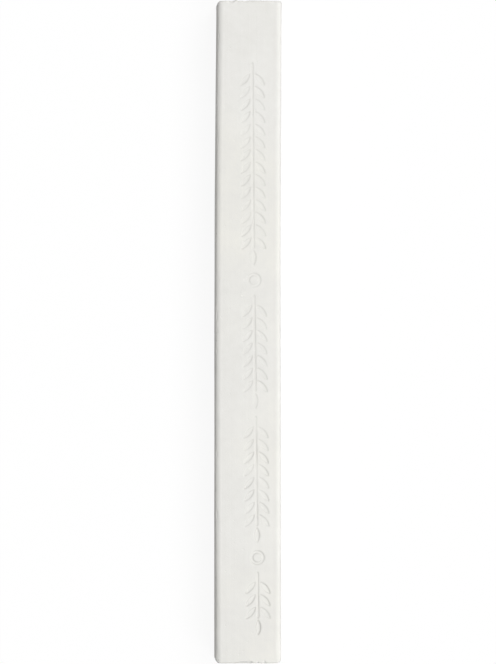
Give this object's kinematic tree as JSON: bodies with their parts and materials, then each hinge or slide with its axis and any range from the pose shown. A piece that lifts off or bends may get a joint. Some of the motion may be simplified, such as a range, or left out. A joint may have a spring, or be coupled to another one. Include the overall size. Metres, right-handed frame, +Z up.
{
  "type": "chalk block",
  "caption": "Square stick of white drawing chalk with rounded long edges, wire-cut ends and a shallow stamped row of leaf sprays and rings along one face.",
  "frame": {"origin": "centre of the stick's footprint, on the surface that it lies on", "axes": "+Z up out of the stamped face, +Y along the stick towards its head, where the stamp starts, +X towards the side that the stamp is nearer to"},
  "size_m": [0.007, 0.07, 0.007],
  "materials": {
    "chalk": "matte"
  },
  "bodies": {
    "root": {"chalk_stick": "chalk"}
  },
  "joints": []
}
